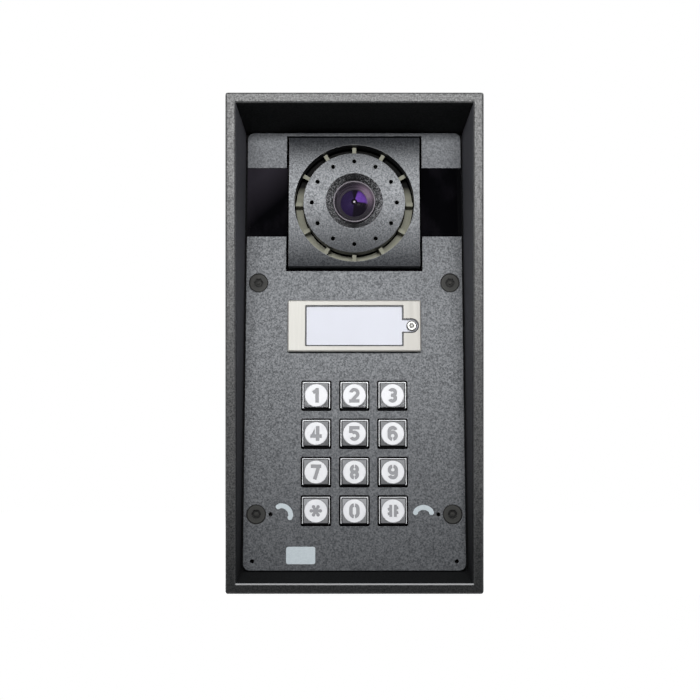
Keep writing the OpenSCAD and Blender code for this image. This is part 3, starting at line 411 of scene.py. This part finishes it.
windowScrewLook = dict(
    steelLook, dark=tone(88, 88, 86), pale=tone(104, 104, 102), rough=(0.42, 0.5),
    edgeTone=tone(40, 40, 39), edgeToneShare=0.5, radius=radiusOf("window_screw"), ringing=0.8, rings=[
        (0.0, tone(150, 150, 147)), (0.22, tone(120, 120, 118)), (0.3, tone(62, 62, 60)),
        (0.46, tone(70, 70, 68)), (0.54, tone(170, 170, 167)), (0.76, tone(176, 176, 173)),
        (0.84, tone(20, 20, 19)), (1.0, tone(20, 20, 19)),
    ],
)


def makePlain(name, look):
    return Finish(name, look).finish()


def makeNickel(look):
    f = Finish("brushed nickel", look)
    # painted shade towards the right end
    f.paint(f.span(f.along("X"), *look["paintedRightShade"], 0.0, 1.0), look["paintedRightShadeTone"])
    return f.finish()


def makeScrew(name, piece, look):  # rings on one head, mirrored to the node's other screws: painted shade in dark rings, and on the window screw a painted highlight ring
    f = Finish(name, look)
    low, high = corners(piece)
    x, y, z = f.about(piece)
    apart = (high - low) / 2 - look["radius"]
    far = f.reach(f.minus(f.size(x), apart[0]), f.minus(f.size(z), apart[2]))
    # painted shade and painted highlight rings
    f.paint(look["ringing"], f.ramp(f.over(far, look["radius"]), look["rings"]))
    return f.finish()


steelPieces = ("camera_screws", "panel_board_screws", "board_screws", "speaker_frame", "ethernet_jack")
makePlain("bright steel", steelLook).dress(*steelPieces)
makePlain("plated magnet", magnetLook).dress("speaker_magnet")
makeNickel(nickelLook).dress("button_frame")
makeScrew("blackened steel", "panel_screws", panelScrewLook).dress("panel_screws")
makeScrew("satin steel", "window_screw", windowScrewLook).dress("window_screw")

# Chrome keys: each face is dished a little from top to bottom, and the sign inside the disc is satin grey.
# The face is painted darker towards its bottom as a painted reflection, the slopes and the parts deep in the
# hole are painted dark as painted shade, and the ledge carries a painted highlight
chromeLook = {
    "dark": tone(184, 186, 189), "pale": tone(202, 204, 207), "grain": 700, "rough": (0.08, 0.12),
    "dish": 0.28,  # radius of its hollow
    # low is a painted reflection darkening the face towards its bottom; slope and deep are painted shade
    "low": tone(150, 151, 154), "lowFade": (-0.005, 0.003), "slope": tone(40, 40, 42), "deep": tone(9, 9, 10),
    "sign": tone(146, 147, 151), "signRough": 0.5, "signGap": 0.0002,
    "ledge": 0.002, "ledgeBand": 0.0002, "ledgeRough": 0.5, "paintedLedgeHighlight": tone(172, 173, 175),
    "ledgeFoot": -0.0056, "rim": 0.0061,
}


def makeKeyChrome(look):
    m = Material("key chrome")
    low, high = corners("key_5_cap")
    pitch = corners("key_6_cap")[0][0] - low[0]
    x, y, z = m.about("key_5_cap")
    x, z = (m.math("WRAP", v, pitch / 2, -pitch / 2) for v in (x, z))
    sign = m.under(m.reach(x, z), radiusOf("key_5_lens") + look["signGap"])
    front = m.under(m.split(m.facing())["Y"], frontFacing)
    behind = m.minus(y, (low[1] - high[1]) / 2 + look["ledge"])
    ledge = m.times(m.under(m.size(behind), look["ledgeBand"]), front)
    outside = m.past(m.most(m.size(x), m.size(z)), look["rim"])
    deep = m.most(m.past(behind, look["ledgeBand"]), m.most(outside, m.under(z, look["ledgeFoot"])))
    fine = m.noise(look["grain"])
    # painted reflection: the face darker towards its bottom; painted shade on the slopes; painted highlight
    # on the ledge
    face = m.mix(m.span(z, *look["lowFade"], 1.0, 0.0), m.mix(fine, look["dark"], look["pale"]), look["low"])
    face = m.mix(ledge, m.mix(front, look["slope"], face), look["paintedLedgeHighlight"])
    rough = m.most(m.fromGrain(fine, *look["rough"]), m.times(ledge, look["ledgeRough"]))
    m.give({
        # painted shade: black deep in the hole
        "Base Color": m.mix(deep, m.mix(sign, face, look["sign"]), look["deep"]),
        "Metallic": m.minus(1.0, sign),
        "Roughness": m.most(rough, m.times(sign, look["signRough"])),
        "Normal": m.bump(m.over(m.times(z, z), 2 * look["dish"]), 1.0, 1.0),
    })
    return m


makeKeyChrome(chromeLook).dress(*keyPieces("_cap"))
print("metal done")

# Plastics, rubber and paper

whiteLook = {
    "dark": tone(228, 229, 233), "pale": tone(238, 239, 242), "grain": 400,
    "rough": (0.32, 0.42), "bump": 0.02, "depth": 2e-5, "glow": 0.15, "edge": 0.0001,
}
diodeLook = dict(whiteLook, dark=tone(196, 192, 214), pale=tone(210, 206, 226), rough=(0.08, 0.15), alpha=0.7)
blackPlasticLook = {
    "dark": tone(26, 26, 28), "pale": tone(36, 36, 39), "grain": 1600,
    "rough": (0.45, 0.58), "bump": 0.2, "depth": 3e-5, "edge": 0.0002,
}
chipLook = dict(blackPlasticLook, rough=(0.15, 0.25))
terminalLook = dict(blackPlasticLook, dark=tone(46, 120, 70), pale=tone(64, 146, 88))
rubberLook = {
    "dark": tone(30, 30, 31), "pale": tone(44, 44, 45), "grain": 1300,
    "rough": (0.62, 0.78), "bump": 0.25, "depth": 5e-5, "edge": 0.0004,
}
foamLook = dict(rubberLook, grain=2600, bump=0.6, depth=0.0002, dark=tone(24, 24, 25))
siliconeLook = dict(rubberLook, dark=tone(128, 130, 134), pale=tone(148, 150, 154))
labelLook = {
    "dark": tone(229, 231, 239), "pale": tone(236, 238, 246), "grain": 2200,
    "rough": (0.7, 0.85), "bump": 0.1, "depth": 2e-5, "edge": 0.0001,
}
conePaperLook = dict(labelLook, dark=tone(54, 50, 44), pale=tone(74, 69, 62), grain=1400, bump=0.4)
printLook = {
    "dark": tone(182, 193, 199), "pale": tone(198, 208, 213), "grain": 1800,
    "rough": (0.45, 0.55), "bump": 0.05, "depth": 2e-5, "edge": 0.0001,
}
coverLook = {
    "dark": tone(228, 231, 242), "pale": tone(236, 238, 247), "grain": 400,
    "rough": (0.16, 0.2), "bump": 0.01, "depth": 1e-5, "edge": 0.00015, "spec": 0.05,
    "film": 0.14, "clearFrom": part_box("button_window")[1][1] - 0.0001,
}


def makeCover(look):  # a thin film over the label; the back, which lies on the label, adds nothing
    f = Finish("clear cover", look)
    f.give({"Alpha": f.times(f.under(f.along("Y"), look["clearFrom"]), look["film"])})
    return f.finish()


makePlain("key white", whiteLook).dress(*keyPieces("_lens"))
makePlain("diode resin", diodeLook).dress("ir_leds")
makePlain("black plastic", blackPlasticLook).dress("button_carrier")
makePlain("chip", chipLook).dress("image_sensor")
makePlain("terminal green", terminalLook).dress("terminal_block")
makePlain("matt rubber", rubberLook).dress("cable_grommet", "blanking_plug", "microphones")
makePlain("foam cord", foamLook).dress("wall_gasket", "panel_gasket")
makePlain("grey silicone", siliconeLook).dress("keypad_mat")
makePlain("label paper", labelLook).dress("name_label")
makePlain("cone paper", conePaperLook).dress("speaker_cone")
makePlain("pale print", printLook).dress("printed_marks")
makeCover(coverLook).dress("button_window")
thinner = nodes["name_label"].modifiers.new("clear of the cover", "DISPLACE")  # their faces would coincide
thinner.mid_level = 0.0
thinner.strength = -4e-5
print("plastic, rubber and paper done")

# Pale ribbed ring: its floor carries painted shadow in the upper half of the groove
ringLook = {
    "dark": tone(128, 128, 114), "pale": tone(150, 150, 137), "paintedShadow": tone(14, 14, 13), "grain": 1100,
    "rough": (0.6, 0.7), "bump": 0.1, "depth": 3e-5, "rib": 0.0004, "fade": (0.005, 0.0095), "spec": 0.1,
}


def makeRing(look):
    m = Material("pale ring")
    low, high = corners("acoustic_ring")
    x, y, z = m.about("acoustic_ring")
    floor = m.past(y, (low[1] - high[1]) / 2 + look["rib"])
    # painted shadow on the floor, in the upper half of the groove
    paintedShadow = m.times(floor, m.span(z, *look["fade"], 0.0, 1.0))
    grain = m.noise(look["grain"], 3.0)
    m.give({
        "Base Color": m.mix(paintedShadow, m.mix(grain, look["dark"], look["pale"]), look["paintedShadow"]),
        "Roughness": m.fromGrain(grain, *look["rough"]),
        "Normal": m.bump(grain, look["bump"], look["depth"]),
        "Specular IOR Level": look["spec"],
    })
    return m


makeRing(ringLook).dress("acoustic_ring")

# Black polished windows: a thin, uneven film of dust, and a painted reflection that grows towards the left
# window's upper left corner
windowLook = {
    "black": tone(5, 5, 7), "film": tone(46, 43, 50), "rough": (0.03, 0.12), "spec": 0.12,
    "clouds": 90, "cloudFade": (0.52, 0.8, 0.0, 0.2), "paintedReflectionFade": (0.1, 0.7, 0.0, 0.8),
}


def makeWindow(look):
    m = Material("black acrylic")
    low, high = corners("ir_window_left")
    x, y, z = m.split(m.place(centre=low))
    corner = m.minus(m.over(z, high[2] - low[2]), m.over(x, 2 * (high[0] - low[0])))
    clouds = m.noise(look["clouds"], 4.0, (1, 1, 0.5))
    # dust clouds plus a painted reflection towards the upper left corner
    film = m.plus(m.span(clouds, *look["cloudFade"]), m.span(corner, *look["paintedReflectionFade"]))
    m.give({
        "Base Color": m.mix(film, look["black"], look["film"]),
        "Roughness": m.span(film, 0.0, 1.0, *look["rough"]),
        "Specular IOR Level": look["spec"],
    })
    return m


makeWindow(windowLook).dress("ir_window_left", "ir_window_right")

# Circuit boards: green mask over a net of copper tracks
boardLook = {
    "mask": tone(24, 92, 52), "track": tone(40, 118, 68), "pad": tone(176, 150, 92), "padFade": (0.12, 0.16),
    "pitch": 420, "padPitch": 252, "grain": 900, "rough": (0.25, 0.4), "bump": 0.2, "depth": 3e-5,
}


def makeBoard(look):
    m = Material("circuit board")
    x, y, z = m.split(m.place())
    flat = m.add("CombineXYZ")
    m.put(x, flat.inputs[0])
    m.put(z, flat.inputs[1])
    net = m.add("TexBrick", offset=0.35, squash=0.6)
    m.put(flat.outputs[0], net.inputs["Vector"])
    for socket, value in (("Color1", "mask"), ("Color2", "mask"), ("Mortar", "track"), ("Scale", "pitch")):
        m.put(look[value], net.inputs[socket])
    dots = m.add("TexVoronoi")
    m.put(flat.outputs[0], dots.inputs["Vector"])
    dots.inputs["Scale"].default_value = look["padPitch"]
    pad = m.span(dots.outputs["Distance"], *look["padFade"], 1.0, 0.0)
    m.give({
        "Base Color": m.mix(pad, net.outputs["Color"], look["pad"]),
        "Roughness": m.fromGrain(m.noise(look["grain"]), *look["rough"]),
        "Normal": m.bump(net.outputs["Fac"], look["bump"], look["depth"]),
    })
    return m


makeBoard(boardLook).dress("camera_board", "keypad_board", "main_board", "ir_boards")

# Lens: a bright rim round a dark stepped barrel with painted shade towards its bottom, a violet coated
# element with a black pupil, bright and dark sectors of painted reflection and a painted highlight spot, and
# a front glass whose coating shows a pale sheen on its upper right as a painted reflection
lensLook = {
    "pupil": 0.23, "spot": 0.065, "blur": 0.03, "deep": tone(46, 34, 74), "bright": tone(118, 76, 180),
    "low": tone(20, 18, 27), "black": tone(5, 4, 7), "paintedHighlightTone": tone(236, 230, 240),
    "sweep": (0, 72), "side": (100, 262), "soft": 5, "grain": 500, "dustAndPaintedLight": 0.25,
    "rough": (0.12, 0.18), "spec": 0.0,
}
barrelLook = {
    "dark": tone(34, 30, 38), "pale": tone(56, 49, 60), "low": tone(20, 18, 23), "lowFade": (-0.006, 0.002),
    "rim": tone(116, 110, 118), "rimWidth": 0.0006, "rimBlur": 5e-5, "line": tone(80, 72, 86), "edge": 0.0002,
    "grain": 900, "rough": (0.4, 0.5), "spec": (0.08, 0.3),
}
glassLook = {
    "tint": tone(80, 70, 88), "sheen": tone(172, 150, 172), "alpha": (0.04, 0.3),
    "sweep": (-8, 70), "soft": 26, "inner": 0.62, "blur": 0.04,
    "smears": 260, "smearFade": (0.4, 0.8), "rough": (0.03, 0.07), "spec": 0.08,
}


def makeLens(look):
    m = Material("coated lens")
    far, angle = m.polar("lens_element")
    share = m.over(far, radiusOf("lens_element"))
    # painted reflection: a bright sector on the upper right over darker sectors, and a painted highlight spot
    # in the black pupil
    colour = m.mix(m.sector(angle, look["side"], look["soft"]), look["low"], look["deep"])
    colour = m.mix(m.sector(angle, look["sweep"], look["soft"]), colour, look["bright"])
    for edge, inner in ((look["pupil"], look["black"]), (look["spot"], look["paintedHighlightTone"])):
        colour = m.mix(m.span(share, edge - look["blur"], edge + look["blur"], 1.0, 0.0), colour, inner)
    grain = m.noise(look["grain"])
    m.give({
        "Base Color": m.mix(m.fromGrain(grain, 0.0, look["dustAndPaintedLight"]), colour, look["black"]),
        "Roughness": m.fromGrain(grain, *look["rough"]),
        "Specular IOR Level": look["spec"],
    })
    return m


def makeBarrel(look):
    m = Material("black barrel")
    x, y, z = m.about("lens_barrel")
    edge = radiusOf("lens_barrel") - look["rimWidth"]
    rim = m.span(m.reach(x, z), edge - look["rimBlur"], edge + look["rimBlur"], 0.0, 1.0)
    grain = m.noise(look["grain"], 3.0)
    rounded, edgeMask = m.edges(look["edge"])
    tones = m.mix(grain, look["dark"], look["pale"])
    # painted shade, darker towards the bottom
    colour = m.mix(m.span(z, *look["lowFade"], 1.0, 0.0), tones, look["low"])
    m.give({
        "Base Color": m.mix(rim, m.mix(edgeMask, colour, look["line"]), look["rim"]),
        "Roughness": m.fromGrain(grain, *look["rough"]),
        "Specular IOR Level": m.span(rim, 0.0, 1.0, *look["spec"]),
        "Normal": rounded,
    })
    return m


def makeGlass(look):
    m = Material("front glass")
    far, angle = m.polar("lens_dome")
    share = m.over(far, radiusOf("lens_dome"))
    ring = m.span(share, look["inner"] - look["blur"], look["inner"] + look["blur"], 0.0, 1.0)
    # painted reflection: a pale sheen in a sector of the ring on the upper right
    sheen = m.times(ring, m.sector(angle, look["sweep"], look["soft"]))
    m.give({
        "Base Color": m.mix(sheen, look["tint"], look["sheen"]),
        "Roughness": m.span(m.noise(look["smears"], 3.0), *look["smearFade"], *look["rough"]),
        "Alpha": m.span(sheen, 0.0, 1.0, *look["alpha"]),
        "Specular IOR Level": look["spec"],
    })
    return m


makeLens(lensLook).dress("lens_element")
makeBarrel(barrelLook).dress("lens_barrel")
makeGlass(glassLook).dress("lens_dome")
print("windows, boards and lens done")

# Studio: pale floor, a wide soft box above the camera, dim room in front and white behind
studio = {
    "ambient": 0.08, "room": 0.03, "white": (1, 1, 1, 1), "whiteFade": (-0.96, -0.45),
    "box": 3.4, "boxAt": (0, -0.609, 0.126), "boxSize": (0.42, 0.085), "aim": (0, -0.045, 0),
    "back": 6.0, "backAt": (0.8, 0.9, 1.0), "backSize": (0.9, 0.9),
}
cardLook = {  # a pale card under the camera, which the keys mirror
    "half": 0.075, "blur": 0.01, "low": -0.15, "lowBlur": 0.02,
    "bright": -0.105, "dark": 0.22, "strength": 0.76,
}
floorLook = {"tone": (0.8, 0.8, 0.8, 1), "glow": 0.93, "front": -0.0555, "half": 2.0}


def shinyRay(t, path):  # 1 for rays that metal and glass send out
    return t.most(path.outputs["Is Glossy Ray"], path.outputs["Is Transmission Ray"])


def lightRoom(look, card):
    world = bpy.data.worlds.new("studio")
    bpy.context.scene.world = world
    t = Tree(world)
    out = t.add("OutputWorld")
    glow = t.add("Background")
    t.put(glow.outputs[0], out.inputs["Surface"])
    x, y, z = t.split(t.add("TexCoord").outputs["Generated"])
    across = t.span(t.size(x), card["half"] - card["blur"], card["half"] + card["blur"], 1.0, 0.0)
    foot = t.span(z, card["low"] - card["lowBlur"], card["low"], 0.0, 1.0)
    fade = t.span(z, card["bright"], card["dark"], card["strength"], 0.0)
    front = t.plus(look["room"], t.times(across, t.times(foot, fade)))
    room = t.most(front, t.span(y, *look["whiteFade"], 0.0, 1.0))
    path = t.add("LightPath")
    seen = t.mix(shinyRay(t, path), (look["ambient"],) * 3 + (1,), room)
    t.put(t.mix(path.outputs["Is Camera Ray"], seen, look["white"]), glow.inputs["Color"])


def softBox(name, place, size, power):
    lamp = bpy.data.lights.new(name, "AREA")
    lamp.shape = "RECTANGLE"
    lamp.size, lamp.size_y = size
    lamp.energy = power
    box = bpy.data.objects.new(name, lamp)
    box.location = place
    box.rotation_euler = (Vector(place) - Vector(studio["aim"])).to_track_quat("Z", "Y").to_euler()
    bpy.context.scene.collection.objects.link(box)


def layFloor(look):  # behind the front of the part, at its foot
    half, front, low = look["half"], look["front"], cadBox[0][2]
    spots = np.array([[-half, front, low], [half, front, low], [half, half, low], [-half, half, low]])
    mesh = bpy.data.meshes.new("floor")
    mesh.from_pydata(spots.tolist(), [], [(0, 1, 2, 3)])
    floor = bpy.data.objects.new("floor", mesh)
    bpy.context.scene.collection.objects.link(floor)
    mat = bpy.data.materials.new("pale floor")
    t = Tree(mat)
    out = t.add("OutputMaterial")
    both = t.add("AddShader")
    matt = t.add("BsdfDiffuse")
    matt.inputs["Color"].default_value = look["tone"]
    glow = t.add("Emission")
    path = t.add("LightPath")
    seen = t.most(path.outputs["Is Camera Ray"], shinyRay(t, path))
    t.put(t.times(seen, look["glow"]), glow.inputs["Strength"])
    t.put(matt.outputs[0], both.inputs[0])
    t.put(glow.outputs[0], both.inputs[1])
    t.put(both.outputs[0], out.inputs["Surface"])
    mesh.materials.append(mat)


lightRoom(studio, cardLook)
layFloor(floorLook)
softBox("front box", studio["boxAt"], studio["boxSize"], studio["box"])
for side in (-1, 1):
    across, behind, up = studio["backAt"]
    softBox("back box", (side * across, behind, up), studio["backSize"], studio["back"])

# Camera square to the slanting rim, a little below the middle
view = {"place": (-0.00195, -0.5396, -0.0647), "tilt": 7.47, "field": 35.1, "sensor": 36, "near": 0.01}
camera = bpy.data.cameras.new("camera")
camera.sensor_width = view["sensor"]
camera.lens = view["sensor"] / 2 / math.tan(math.radians(view["field"] / 2))
camera.clip_start = view["near"]
cameraObject = bpy.data.objects.new("camera", camera)
cameraObject.location = view["place"]
cameraObject.rotation_euler = (math.radians(90 + view["tilt"]), 0, 0)
bpy.context.scene.collection.objects.link(cameraObject)
bpy.context.scene.camera = cameraObject
bpy.context.scene.view_settings.view_transform = "Standard"
print("studio done")
